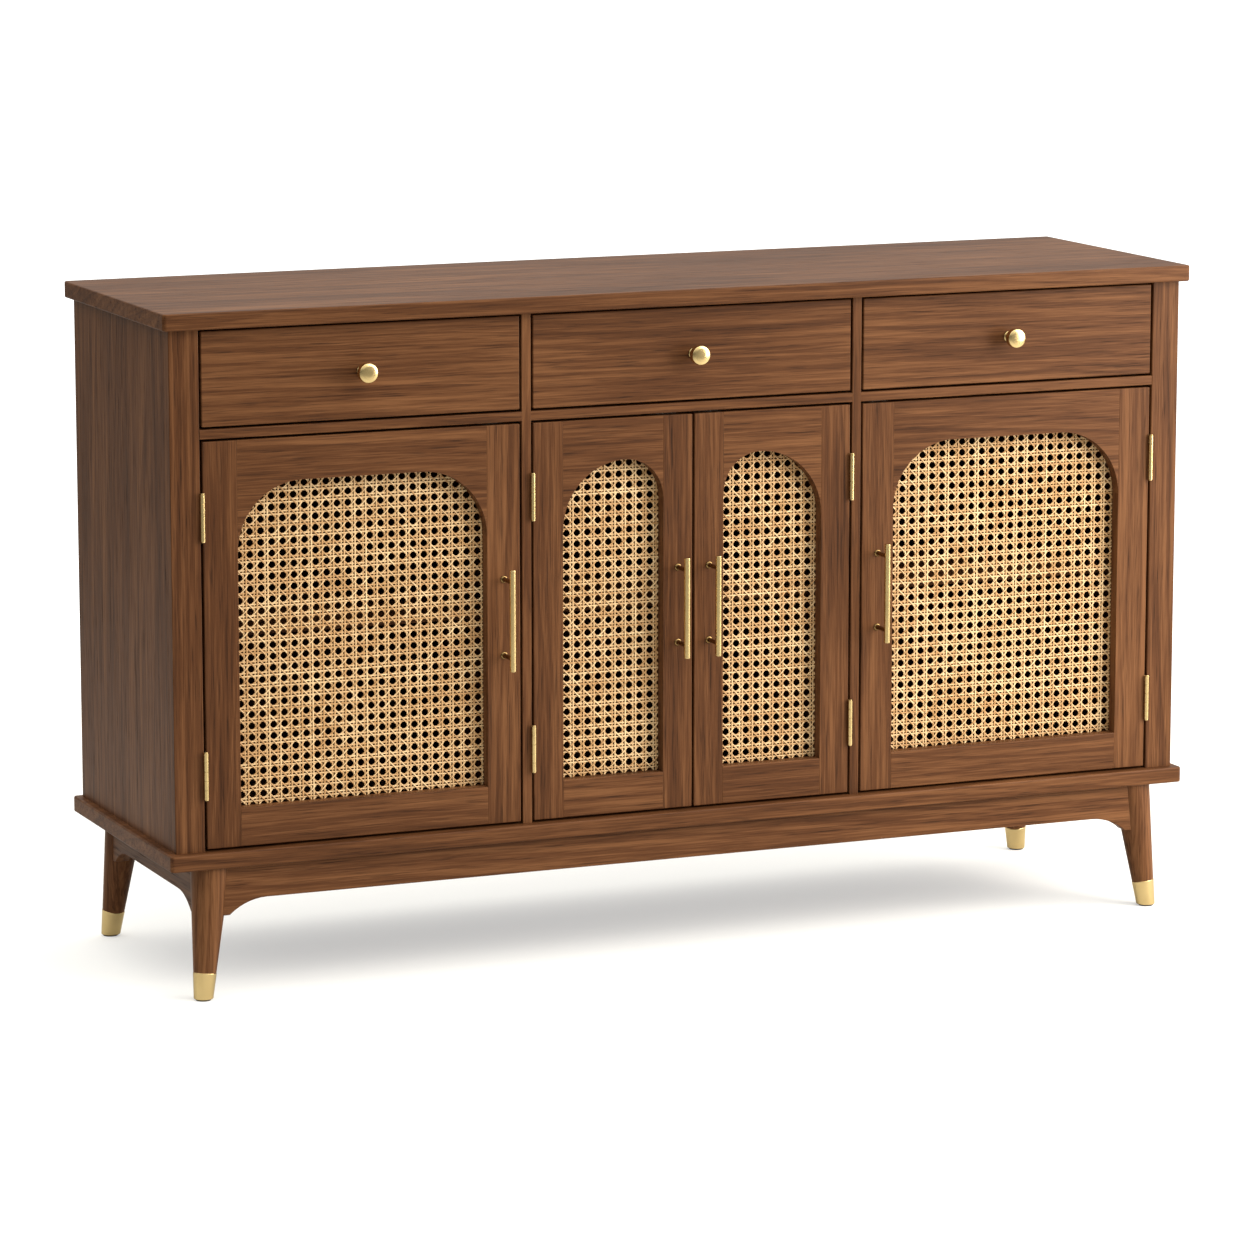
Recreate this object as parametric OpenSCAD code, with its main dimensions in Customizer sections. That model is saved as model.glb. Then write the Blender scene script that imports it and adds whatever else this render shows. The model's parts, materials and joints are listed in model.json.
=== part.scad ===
// Sideboard with three drawers over four cane-panelled doors, on splayed, brass-tipped legs.
// The origin is on the floor, under the middle of the whole piece. X is its width and the front faces -Y.

/* [Overall size] */
// Width of the top and base slabs
slab_w = 1400; // [1300:10:1600]
// Depth of the top and base slabs, front to back
slab_d = 400; // [380:5:460]
// Height from the floor to the top surface
total_h = 850; // [800:5:920]
// Height of the underside of the base slab
leg_h = 165; // [150:1:190]

/* [Slabs and body] */
// Thickness of the top slab
top_t = 21; // [18:0.5:26]
// Thickness of the base slab
base_t = 20.5; // [18:0.5:26]
// How far each slab runs past the body at its sides
side_overhang = 10; // [5:1:20]
// How far each slab runs past the drawers and doors
front_overhang = 12; // [8:1:16]
// How far each slab runs past the back
rear_overhang = 10; // [5:1:20]
// Thickness of the side panels
side_t = 18; // [16:1:20]
// Width of the front stiles at the body's corners
stile_w = 38; // [34:1:44]
// Thickness of doors, drawer fronts and front stiles
front_t = 20; // [18:1:22]
// Thickness of partitions, drawer decks and shelves
board_t = 12; // [10:1:14]
// Thickness of the back panel
back_t = 8; // [6:1:10]
// Middle of each partition, from the centre line
partition_x = 226.5; // [215:0.5:240]
// Height of the drawer fronts
drawer_h = 116.5; // [100:0.5:130]

/* [Doors] */
// Gap around doors and drawer fronts
gap = 3; // [2:0.5:4]
// Stile width of the side doors
side_stile = 44; // [40:1:50]
// Stile width of the centre doors
centre_stile = 40; // [36:1:44]
// Height of the bottom rails
bottom_rail = 48; // [40:1:60]
// Height of the top rails at the crown of the arch
top_rail = 52.5; // [45:0.5:60]
// Corner radius of the arches
arch_r = 85; // [75:1:90]
// Depth of the rebate behind the frame that holds the cane
rebate_d = 4; // [3:0.5:6]
// Width of that rebate
rebate_w = 9; // [6:1:12]
// Thickness of the woven cane sheet
cane_t = 2; // [1.5:0.5:3]

/* [Hardware] */
// Diameter of the bar handles
bar_d = 8; // [7:0.5:10]
// Length of the bar handles
bar_l = 128; // [110:1:160]
// Distance between the two posts of a handle
post_gap = 96; // [64:32:96]
// Diameter of the handle posts
post_d = 5.5; // [5:0.5:7]
// Distance from a door's face to the middle of its bar
handle_reach = 30; // [26:1:34]
// Diameter of the drawer knobs
knob_d = 24.5; // [18:0.5:28]
// Projection of the drawer knobs
knob_reach = 26; // [20:1:30]
// Length of the hinges
hinge_l = 58; // [50:1:65]
// Diameter of the hinge knuckles
knuckle_d = 6; // [5:0.5:7]
// Diameter of the hinge pins
pin_d = 3; // [2.5:0.5:3.5]
// Height of the middle of a hinge, from the door's nearer end
hinge_inset = 92; // [70:1:110]

/* [Legs] */
// Radius of a leg under the base slab
leg_top_r = 25; // [21:0.5:27]
// Radius of a leg at the floor
leg_foot_r = 11.5; // [10:0.5:14]
// Middle of a leg's top, from the centre line
leg_x = 640; // [600:1:645]
// Middle of a leg's top, from the slab's middle
leg_y = 170; // [150:1:172]
// How far a foot stands out from the leg's top, each way
splay = 17; // [0:1:20]
// Length of the brass ferrules
ferrule_l = 34; // [25:1:45]
// Height of the aprons between the legs
apron_h = 42; // [30:1:55]
// Thickness of the aprons
apron_t = 18; // [14:1:20]
// How far the brackets at the aprons' ends drop
bracket_drop = 19; // [12:1:24]
// Length of those brackets
bracket_l = 49; // [35:1:60]

/* [Drawers and shelves] */
// Depth of the drawer boxes behind their fronts
box_d = 320; // [280:5:325]
// Height of the drawer boxes
box_h = 85; // [70:1:90]
// Thickness of the drawer box boards
box_t = 12; // [10:1:14]
// Height of the shelves
shelf_z = 440; // [380:1:520]

/* [Hidden] */
$fn = 64;
SIDES = [-1, 1];
play = 0.5;                                  // loose fit of shelves and runners

// heights
base_z = leg_h + base_t;                     // top of the base slab
body_z = total_h - top_t;                    // underside of the top slab
drawer_z = body_z - gap - drawer_h;          // lower edge of the drawer fronts
deck_z = drawer_z - gap - board_t;           // underside of the drawer decks
door_z = base_z + gap;                       // lower edge of the doors
door_h = deck_z - gap - door_z;

// depths: the handles reach furthest forward, so the slabs sit behind the middle
bar_front = handle_reach + bar_d / 2 - front_overhang;
slab_y0 = -(slab_d + bar_front) / 2 + bar_front;
slab_y1 = slab_y0 + slab_d;
slab_mid = (slab_y0 + slab_y1) / 2;
face_y = slab_y0 + front_overhang;           // front face of doors, drawers and stiles
inner_y = face_y + front_t;                  // their back face
back_y = slab_y1 - rear_overhang;            // the body's back
inside_y = back_y - back_t;                  // front of the back panel

// widths
body_x = slab_w / 2 - side_overhang;         // outside of the body
wall_x = body_x - side_t;                    // inside of a side panel
jamb_x = body_x - stile_w;                   // inner edge of a front stile
part_in = partition_x - board_t / 2;
part_out = partition_x + board_t / 2;

// Doors, left to right: name, low x, high x, stile width, left and right arch radius, hinge side
side_open = jamb_x - part_out - 2 * gap;     // width of a side door
centre_open = part_in - gap * 1.5;           // width of a centre door
inner_r = centre_open - 2 * centre_stile - arch_r;
DOORS = [
    ["left_door", -jamb_x + gap, -part_out - gap, side_stile, arch_r, arch_r, -1],
    ["inner_left_door", -part_in + gap, -gap / 2, centre_stile, arch_r, inner_r, -1],
    ["inner_right_door", gap / 2, part_in - gap, centre_stile, inner_r, arch_r, 1],
    ["right_door", part_out + gap, jamb_x - gap, side_stile, arch_r, arch_r, 1]
];
// Drawers: name, low x and high x of the front, inner faces of the walls either side of the box
DRAWERS = [
    ["left_drawer", -jamb_x + gap, -part_out - gap, -wall_x, -part_out],
    ["centre_drawer", -part_in + gap, part_in - gap, -part_in, part_in],
    ["right_drawer", part_out + gap, jamb_x - gap, part_out, wall_x]
];
DOOR_PIECES = ["stiles", "rails", "cane", "bead", "handle", "hinge_leaves"];
DRAWER_PIECES = ["front", "box", "bottom", "knob"];
LEGS = [["front_left_leg", -1, -1], ["front_right_leg", 1, -1], ["rear_left_leg", -1, 1], ["rear_right_leg", 1, 1]];

box_inset = 2;                               // drawer box inside its front, each side
box_z = drawer_z + 9;                        // underside of a drawer box
runner_h = 10;                               // hardwood strips that the drawers slide on
runner_d = box_t / 2;                        // depth of the groove they run in
runner_z = box_z + box_h / 2;
runner_y0 = inner_y + 22;
runner_y1 = inner_y + box_d;
bottom_t = 6;                                // drawer bottoms
bottom_z = box_z + 8;
groove_in = box_t / 2 - 1;                   // how far a drawer bottom enters the sides

hinge_y = face_y - knuckle_d / 2 - 0.2;      // hinge pins
leaf_t = 1.2;
leaf_d = 16;                                 // how far a leaf runs back from the face
knuckles = 5;
knuckle_l = hinge_l / knuckles;
pin_play = 0.05;
HINGE_Z = [door_z + hinge_inset, door_z + door_h - hinge_inset];

shelf_pin_r = 2.5;
shelf_pin_l = 14;
shelf_y0 = inner_y + 37;
PIN_Y = [shelf_y0 + 45, inside_y - 45];
pin_depth = board_t / 2 - 1;                 // depth of a shelf pin's hole

leg_axis = sqrt(leg_h * leg_h + 2 * splay * splay);
leg_tilt = atan(sqrt(2) * splay / leg_h);
pad_t = 2;
pad_r = leg_foot_r - 2;
ferrule_floor = 4;
ferrule_wall = 1.2;
ferrule_proud = 0.5;                         // ferrule outside the wood, all round
apron_set = 20;                              // outer face of an apron, from the leg's middle
glue_t = 0.1;
catch_size = [40, 14, 16];

function walnut() = "#7a4f33";
function dark_walnut() = "#5f3f2b";
function brass() = "#c9a765";

// A box from its low corner to its high corner
module block(low, high) {
    translate(low) cube(high - low);
}

// An outline in X and Z, pushed from y0 back to y1
module upright(y0, y1) {
    translate([0, y1, 0]) rotate([90, 0, 0]) linear_extrude(y1 - y0) children();
}

// A turned profile of radius and length, pointing forward from a door or drawer face
module turned_forward(x, z) {
    translate([x, face_y, z]) rotate([90, 0, 0]) rotate_extrude() children();
}

// ---- carcass ----

module top_panel() {
    color(walnut())
        block([-slab_w / 2, slab_y0, body_z], [slab_w / 2, slab_y1, total_h]);
}

module base_slab() {
    color(walnut())
        block([-slab_w / 2, slab_y0, leg_h], [slab_w / 2, slab_y1, base_z]);
}

// Blind holes for shelf pins in a wall whose face is at x, going towards dir
module pin_holes(x, dir) {
    for (y = PIN_Y)
        translate([x - dir, y, shelf_z - shelf_pin_r]) rotate([0, 90 * dir, 0])
            cylinder(h = pin_depth + 1, r = shelf_pin_r);
}

module side_panel(side) {
    color(walnut()) difference() {
        if (side < 0) block([-body_x, inner_y, base_z], [-wall_x, back_y, body_z]);
        else block([wall_x, inner_y, base_z], [body_x, back_y, body_z]);
        pin_holes(side * wall_x, side);
    }
}

module front_stiles() {
    color(walnut()) for (side = SIDES)
        translate([side * (jamb_x + body_x) / 2 - stile_w / 2, face_y, base_z])
            cube([stile_w, front_t, body_z - base_z]);
}

module partition(side) {
    color(walnut()) difference() {
        translate([side * partition_x - board_t / 2, face_y, base_z])
            cube([board_t, inside_y - face_y, body_z - base_z]);
        pin_holes(side * part_out, -side);
        pin_holes(side * part_in, side);
    }
}

// One deck in each bay, with its front edge showing as the rail between drawers and doors
module drawer_decks() {
    color(walnut()) {
        block([-part_in, face_y, deck_z], [part_in, inside_y, deck_z + board_t]);
        for (side = SIDES) difference() {
            translate([side * (part_out + wall_x) / 2 - (wall_x - part_out) / 2, face_y, deck_z])
                cube([wall_x - part_out, inside_y - face_y, board_t]);
            translate([side * (jamb_x + body_x) / 2 - stile_w / 2, face_y - 1, deck_z - 1])
                cube([stile_w, front_t + 1, board_t + 2]);
        }
    }
}

module back_panel() {
    color(dark_walnut())
        block([-wall_x, inside_y, base_z], [wall_x, back_y, body_z]);
}

module shelves() {
    color(walnut()) {
        block([-part_in + play, shelf_y0, shelf_z], [part_in - play, inside_y - play, shelf_z + board_t]);
        for (side = SIDES)
            translate([side * (part_out + wall_x) / 2 - (wall_x - part_out) / 2 + play, shelf_y0, shelf_z])
                cube([wall_x - part_out - 2 * play, inside_y - play - shelf_y0, board_t]);
    }
}

module shelf_pins() {
    WALLS = [[-wall_x, -1], [-part_out, 1], [-part_in, -1], [part_in, 1], [part_out, -1], [wall_x, 1]];
    color(brass()) for (w = WALLS, y = PIN_Y)
        translate([w[0] + w[1] * pin_depth, y, shelf_z - shelf_pin_r]) rotate([0, -90 * w[1], 0])
            cylinder(h = shelf_pin_l, r = shelf_pin_r);
}

// Two hardwood strips to each drawer, one on each wall of its bay
module drawer_runners() {
    color(dark_walnut()) for (d = DRAWERS) {
        block([d[3], runner_y0, runner_z - runner_h / 2],
              [d[1] + box_inset + runner_d - play, runner_y1, runner_z + runner_h / 2]);
        block([d[2] - box_inset - runner_d + play, runner_y0, runner_z - runner_h / 2],
              [d[4], runner_y1, runner_z + runner_h / 2]);
    }
}

module magnet_catches() {
    color("#d8d4cc") for (d = DOORS) {
        free_x = d[6] < 0 ? d[2] - 8 - catch_size.x : d[1] + 8;
        translate([free_x, inner_y + play, deck_z - catch_size.z]) cube(catch_size);
    }
}

// ---- base ----

// A leg's own axis: the origin is where it meets the floor and +Z runs up the leg
module on_leg(sx, sy) {
    translate([sx * (leg_x + splay), slab_mid + sy * (leg_y + splay), 0])
        rotate([0, 0, atan2(-sy, -sx)]) rotate([0, leg_tilt, 0]) children();
}

function leg_r(s) = leg_foot_r + (leg_top_r - leg_foot_r) * s / leg_axis;

// The taper of a leg between two lengths along its axis, made larger by grow
module taper(s0, s1, grow = 0) {
    translate([0, 0, s0]) cylinder(h = s1 - s0, r1 = leg_r(s0) + grow, r2 = leg_r(s1) + grow);
}

module level_cut(z0, z1) {
    intersection() {
        children();
        block([-slab_w / 2, slab_y0 - 50, z0], [slab_w / 2, slab_y1 + 50, z1]);
    }
}

module leg(sx, sy) {
    color(walnut()) level_cut(pad_t + ferrule_floor, leg_h) on_leg(sx, sy) {
        taper(-5, ferrule_l, -ferrule_wall);
        taper(ferrule_l, leg_axis + 10);
    }
}

module ferrules() {
    color(brass()) for (leg = LEGS) difference() {
        level_cut(pad_t, leg_h) on_leg(leg[1], leg[2]) taper(-5, ferrule_l, ferrule_proud);
        level_cut(pad_t + ferrule_floor, leg_h) on_leg(leg[1], leg[2]) taper(-5, ferrule_l + 5, -ferrule_wall);
    }
}

module foot_pads() {
    color("#3a3532") for (leg = LEGS)
        translate([leg[1] * (leg_x + splay), slab_mid + leg[2] * (leg_y + splay), 0])
            cylinder(h = pad_t, r = pad_r);
}

// An apron from the middle of one leg to the next: level along the middle, with a coved bracket at each end
module apron_outline(half) {
    tip = half - 18;
    start = tip - bracket_l;
    cove_r = (bracket_l * bracket_l + bracket_drop * bracket_drop) / (2 * bracket_drop);
    low = leg_h - apron_h;
    difference() {
        translate([-half, low - bracket_drop]) square([2 * half, apron_h + bracket_drop]);
        translate([-start, low - apron_h]) square([2 * start, apron_h]);
        for (s = SIDES) translate([s * start, low - cove_r]) circle(cove_r, $fn = 96);
    }
}

module coped_to_legs() {
    difference() {
        children();
        for (leg = LEGS) on_leg(leg[1], leg[2]) taper(40, leg_axis + 10, 0.1);
    }
}

module long_apron(sy) {
    y_out = slab_mid + sy * (leg_y + apron_set);
    color(walnut()) coped_to_legs()
        upright(min(y_out, y_out - sy * apron_t), max(y_out, y_out - sy * apron_t)) apron_outline(leg_x);
}

// Out of sight, so its brackets are blocks glued under a plain rail
module rear_apron() {
    low = leg_h - apron_h;
    difference() {
        long_apron(1);
        block([-leg_x, slab_mid, low - glue_t], [leg_x, slab_y1, low]);
    }
}

module side_aprons() {
    color(walnut()) coped_to_legs() for (side = SIDES)
        translate([side * (leg_x + apron_set - apron_t / 2), slab_mid, 0]) rotate([0, 0, 90])
            upright(-apron_t / 2, apron_t / 2) apron_outline(leg_y);
}

// ---- drawers ----

module drawer_front(d) {
    color(walnut()) block([d[1], face_y, drawer_z], [d[2], inner_y, drawer_z + drawer_h]);
}

// Two sides and a back, with grooves for the runners and for the bottom
module drawer_box(d) {
    x0 = d[1] + box_inset;
    x1 = d[2] - box_inset;
    y1 = inner_y + box_d;
    color("#a9825a") difference() {
        block([x0, inner_y, box_z], [x1, y1, box_z + box_h]);
        block([x0 + box_t, inner_y - 1, box_z - 1], [x1 - box_t, y1 - box_t, box_z + box_h + 1]);
        for (x = [x0 - 1, x1 - runner_d])
            translate([x, runner_y0 - play * 2, runner_z - runner_h / 2 - play])
                cube([runner_d + 1, box_d, runner_h + 2 * play]);
        block([x0 + box_t - groove_in, inner_y - 1, bottom_z],
              [x1 - box_t + groove_in, y1 - box_t + groove_in, bottom_z + bottom_t]);
    }
}

module drawer_bottom(d) {
    color("#b79468")
        block([d[1] + box_inset + box_t - groove_in, inner_y, bottom_z],
              [d[2] - box_inset - box_t + groove_in, inner_y + box_d - box_t + groove_in, bottom_z + bottom_t]);
}

// A waisted neck on a small rose, under a flattened round head
module drawer_knob(d) {
    rose_r = 7.5;
    neck_r = 4;
    head_h = 13;
    head_z = knob_reach - head_h;
    edge_r = 3.5;
    color(brass()) turned_forward((d[1] + d[2]) / 2, drawer_z + drawer_h / 2) {
        square([rose_r, 2]);
        square([neck_r, head_z + 1]);
        polygon([[0, head_z - 3], [neck_r, head_z - 3], [knob_d / 2 - edge_r, head_z + 1], [0, head_z + 1]]);
        translate([0, head_z]) square([knob_d / 2 - edge_r, head_h]);
        translate([0, head_z + edge_r]) square([knob_d / 2, head_h - 2 * edge_r]);
        for (z = [head_z + edge_r, knob_reach - edge_r])
            translate([knob_d / 2 - edge_r, z]) circle(edge_r, $fn = 32);
    }
}

// ---- doors ----

function opening_w(d) = d[2] - d[1] - 2 * d[3];
opening_z0 = door_z + bottom_rail;
opening_z1 = door_z + door_h - top_rail;

// The arched opening of a door in X and Z, made larger all round by grow
module arched_opening(d, grow = 0) {
    x0 = d[1] + d[3];
    x1 = d[2] - d[3];
    left_r = d[4];
    right_r = d[5];
    translate([x0 - grow, opening_z0 - grow])
        square([left_r + grow, opening_z1 - left_r - opening_z0 + grow]);
    translate([x1 - right_r, opening_z0 - grow])
        square([right_r + grow, opening_z1 - right_r - opening_z0 + grow]);
    if (x1 - x0 > left_r + right_r)
        translate([x0 + left_r, opening_z0 - grow])
            square([x1 - x0 - left_r - right_r, opening_z1 - opening_z0 + 2 * grow]);
    intersection() {
        translate([x0 + left_r, opening_z1 - left_r]) circle(left_r + grow, $fn = 96);
        translate([x0 - grow, opening_z1 - left_r]) square([left_r + grow, left_r + grow]);
    }
    intersection() {
        translate([x1 - right_r, opening_z1 - right_r]) circle(right_r + grow, $fn = 96);
        translate([x1 - right_r, opening_z1 - right_r]) square([right_r + grow, right_r + grow]);
    }
}

// The space that the opening and the rebate behind it take out of a door frame
module opening_cut(d) {
    upright(face_y - 1, inner_y + 1) arched_opening(d);
    upright(inner_y - rebate_d, inner_y + 1) arched_opening(d, rebate_w);
}

module door_stiles(d) {
    color(walnut()) difference() {
        for (x = [d[1], d[2] - d[3]])
            translate([x, face_y, door_z]) cube([d[3], front_t, door_h]);
        opening_cut(d);
    }
}

module door_rails(d) {
    x0 = d[1] + d[3];
    x1 = d[2] - d[3];
    spring = opening_z1 - max(d[4], d[5]);
    color(walnut()) difference() {
        union() {
            block([x0, face_y, door_z], [x1, inner_y, opening_z0]);
            block([x0, face_y, spring], [x1, inner_y, door_z + door_h]);
        }
        opening_cut(d);
    }
}

module door_cane(d) {
    color("#d9ba86")
        upright(inner_y - rebate_d, inner_y - rebate_d + cane_t) arched_opening(d, rebate_w - play);
}

// The loose bead that holds the cane in its rebate
module door_bead(d) {
    bead_y = inner_y - rebate_d + cane_t;
    color(dark_walnut()) upright(bead_y, bead_y + 5) difference() {
        arched_opening(d, rebate_w - play);
        arched_opening(d, 1);
    }
}

module door_handle(d) {
    x = d[6] < 0 ? d[2] - d[3] / 2 : d[1] + d[3] / 2;
    z = door_z + door_h / 2 + 10;
    rose_r = 4.5;
    color(brass()) {
        translate([x, face_y - handle_reach, z - bar_l / 2]) cylinder(h = bar_l, d = bar_d);
        for (s = SIDES) translate([x, face_y, z + s * post_gap / 2]) rotate([90, 0, 0]) {
            cylinder(h = handle_reach, d = post_d);
            cylinder(h = 2, r = rose_r);
        }
    }
}

// ---- hinges ----

// x of a door's hinge pins, and of the gap's two faces
function hinge_x(d) = d[6] < 0 ? d[1] - gap / 2 : d[2] + gap / 2;

// One leaf about its own pin, on the side dir, with every second knuckle from first on
module leaf(dir, first) {
    reach = gap / 2;
    back = face_y - hinge_y + leaf_d;
    clear = knuckle_d / 2 + 0.6;
    difference() {
        union() {
            translate([dir > 0 ? reach - leaf_t : -reach, clear, 0]) cube([leaf_t, back - clear, hinge_l]);
            for (k = [first:2:knuckles - 1]) translate([0, 0, k * knuckle_l + 0.15]) {
                cylinder(h = knuckle_l - 0.3, d = knuckle_d);
                translate([dir > 0 ? reach - leaf_t : -reach, 0, 0])
                    cube([leaf_t, clear + 1, knuckle_l - 0.3]);
            }
        }
        translate([0, 0, -1]) cylinder(h = hinge_l + 2, r = pin_d / 2 + pin_play, $fn = 32);
    }
}

module at_hinges(d) {
    for (z = HINGE_Z) translate([hinge_x(d), hinge_y, z - hinge_l / 2]) children();
}

module door_hinge_leaves(d) {
    color(brass()) at_hinges(d) leaf(-d[6], 1);
}

module frame_hinge_leaves() {
    color(brass()) for (d = DOORS) at_hinges(d) leaf(d[6], 0);
}

module hinge_pins() {
    cap = 1.2;
    color(brass()) for (d = DOORS) at_hinges(d) {
        cylinder(h = hinge_l, d = pin_d, $fn = 32);
        for (z = [-cap, hinge_l]) translate([0, 0, z]) cylinder(h = cap, d = knuckle_d - 1);
    }
}

// ---- the pieces, one by one ----

top_panel();
base_slab();
side_panel(-1);  // left_side_panel
side_panel(1);  // right_side_panel
front_stiles();
partition(-1);  // left_partition
partition(1);  // right_partition
drawer_decks();
back_panel();
shelves();
shelf_pins();
long_apron(-1);  // front_apron
rear_apron();
side_aprons();
ferrules();
foot_pads();
drawer_runners();
magnet_catches();
frame_hinge_leaves();
hinge_pins();
for (l = LEGS) leg(l[1], l[2]);
for (d = DRAWERS) {
    drawer_front(d);
    drawer_box(d);
    drawer_bottom(d);
    drawer_knob(d);
}
for (d = DOORS) {
    door_stiles(d);
    door_rails(d);
    door_cane(d);
    door_bead(d);
    door_handle(d);
    door_hinge_leaves(d);
}
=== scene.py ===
"""Sideboard with three drawers over four cane-panelled doors: boards, weave, brass and a plain studio."""

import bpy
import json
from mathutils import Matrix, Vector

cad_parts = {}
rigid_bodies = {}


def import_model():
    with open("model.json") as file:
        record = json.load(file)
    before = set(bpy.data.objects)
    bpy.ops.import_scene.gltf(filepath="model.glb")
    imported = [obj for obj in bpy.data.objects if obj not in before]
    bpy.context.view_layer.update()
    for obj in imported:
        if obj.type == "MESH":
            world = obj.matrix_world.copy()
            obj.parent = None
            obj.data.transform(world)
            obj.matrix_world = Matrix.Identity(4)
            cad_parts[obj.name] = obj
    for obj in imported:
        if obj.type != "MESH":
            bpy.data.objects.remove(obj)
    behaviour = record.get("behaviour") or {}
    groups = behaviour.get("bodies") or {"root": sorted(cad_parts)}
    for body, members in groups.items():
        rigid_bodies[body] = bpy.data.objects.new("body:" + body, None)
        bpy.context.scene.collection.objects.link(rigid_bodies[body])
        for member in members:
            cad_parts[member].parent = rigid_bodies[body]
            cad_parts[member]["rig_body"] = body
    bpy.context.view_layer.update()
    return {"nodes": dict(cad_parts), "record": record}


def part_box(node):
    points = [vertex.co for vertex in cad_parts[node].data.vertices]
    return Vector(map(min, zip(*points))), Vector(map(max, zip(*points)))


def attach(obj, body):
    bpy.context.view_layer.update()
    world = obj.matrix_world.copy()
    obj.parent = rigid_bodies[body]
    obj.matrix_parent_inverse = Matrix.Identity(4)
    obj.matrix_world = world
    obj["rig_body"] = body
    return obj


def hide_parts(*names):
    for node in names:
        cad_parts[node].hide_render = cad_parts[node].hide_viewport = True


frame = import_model()

import json
import math
import random

import bmesh
import bpy
from bpy.props import FloatProperty, FloatVectorProperty, IntProperty, PointerProperty
from mathutils import Matrix, Vector
from mathutils.bvhtree import BVHTree

bl_info = {
    "name": "Cane sideboard",
    "version": (1, 0, 0),
    "blender": (4, 5, 0),
    "location": "3D View > Sidebar > Sideboard",
    "description": "Builds the boards, legs, cane, brass and studio of a sideboard on its packed frame",
    "category": "Object",
}

DRAWERS = ("left_drawer", "centre_drawer", "right_drawer")
DOORS = ("left_door", "inner_left_door", "inner_right_door", "right_door")
CORNERS = {"front_left": (-1, -1), "front_right": (1, -1), "rear_left": (-1, 1), "rear_right": (1, 1)}
MM = 0.001

TOP_LOW, TOP_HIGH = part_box("top_panel")
BASE_LOW, BASE_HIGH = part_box("base_slab")
FACE_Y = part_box("front_stiles")[0].y
SLAB_MIDDLE_Y = (TOP_LOW.y + TOP_HIGH.y) / 2
FOOT = next(Vector(m["pos_m"]) for m in frame["record"]["mounts"] if m["name"] == "floor")
FOOT_REACH_Y = SLAB_MIDDLE_Y - FOOT.y
PAD_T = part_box("foot_pads")[1].z
PAD_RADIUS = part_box("foot_pads")[1].x - FOOT.x

FERRULE_WALL = 1.2 * MM
HINGE_NEAR = 6 * MM    # how near to a door's pins its own hinges lie
NO_STAVES = 10.0    # a stave width in metres that no board reaches
GRAIN_ORDER = {"X": (1, 2, 0), "Y": (2, 0, 1), "Z": (0, 1, 2)}    # axes across, across and along the grain


# ---- sizes and colours that a user would change ----

def colour(name, description, default):
    return FloatVectorProperty(name=name, description=description, subtype="COLOR", size=3, min=0, max=1,
                               default=default)


def length(name, description, default):
    return FloatProperty(name=name, description=description, default=default, min=0, unit="LENGTH")


def share(name, description, default):
    return FloatProperty(name=name, description=description, default=default, min=0, max=1)


def angle(name, description, degrees):
    return FloatProperty(name=name, description=description, default=math.radians(degrees), subtype="ANGLE")


class SIDEBOARD_PG_wood(bpy.types.PropertyGroup):
    """The walnut boards and the paler woods inside."""
    dark: colour("Dark figure", "Darkest streaks of the walnut", (0.046, 0.0170, 0.0064))
    middle: colour("Middle tone", "Most of the walnut", (0.092, 0.0352, 0.0130))
    light: colour("Light figure", "Lightest streaks of the walnut", (0.172, 0.0735, 0.0290))
    stave: length("Stave width", "Width of the staves in the slabs and sides", 64 * MM)
    ring: length("Ring spacing", "Distance between growth rings", 8 * MM)
    gloss: share("Roughness", "Roughness of the lacquer", 0.42)
    arris: length("Arris", "Radius of the open edges of boards", 1.3 * MM)
    joint: length("Joint easing", "Radius of edges that meet another board", 0.4 * MM)
    slab_arris: length("Slab arris", "Radius along the edges of the top and base slabs", 2.2 * MM)
    slab_corner: length("Slab corner", "Radius of the four corners of the slabs", 5 * MM)


class SIDEBOARD_PG_cane(bpy.types.PropertyGroup):
    """The woven cane sheets."""
    pitch: length("Pitch", "Distance between the holes", 14.2 * MM)
    straight: length("Straight strands", "Width of the upright and level strands", 2.5 * MM)
    slanted: length("Slanted strands", "Width of the diagonal strands", 2.3 * MM)
    thick: length("Strand thickness", "Thickness of a strand at its middle", 0.75 * MM)
    pale: colour("Pale cane", "Skin of the palest strands", (0.97, 0.755, 0.44))
    deep: colour("Deep cane", "Edges and the darkest strands", (0.46, 0.255, 0.10))
    seed: IntProperty(name="Seed", description="Seed of the small unevenness of the weave", default=7)


class SIDEBOARD_PG_brass(bpy.types.PropertyGroup):
    """Knobs, handles, hinges and ferrules."""
    tone: colour("Brass", "Colour of the satin brass", (0.70, 0.53, 0.25))
    # on the handle posts this darker brass is a painted shade under the bar; elsewhere it gives the patches
    # of patina
    aged_and_shaded: colour("Aged and shaded brass", "Brass of the posts, and of the patina elsewhere", (0.27, 0.17, 0.065))
    gloss: share("Roughness", "Roughness of the satin brass", 0.21)
    rose: length("Rose radius", "Radius of the discs behind knobs", 7.5 * MM)
    neck: length("Neck radius", "Radius of a knob's neck", 4 * MM)
    post: length("Post radius", "Radius of a handle's posts", 2.75 * MM)
    post_gap: length("Post distance", "Distance between a handle's posts", 96 * MM)


class SIDEBOARD_PG_leg(bpy.types.PropertyGroup):
    """The turned legs."""
    top_radius: length("Top radius", "Radius of a leg under the base slab", 25 * MM)
    foot_radius: length("Foot radius", "Radius of a leg at the floor", 11.5 * MM)
    splay: length("Splay", "How far a foot stands out from the leg's top, each way", 17 * MM)
    ferrule: length("Ferrule length", "Length of the brass ferrules", 34 * MM)
    proud: length("Ferrule step", "How far a ferrule stands out from the wood", 0.5 * MM)


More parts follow.
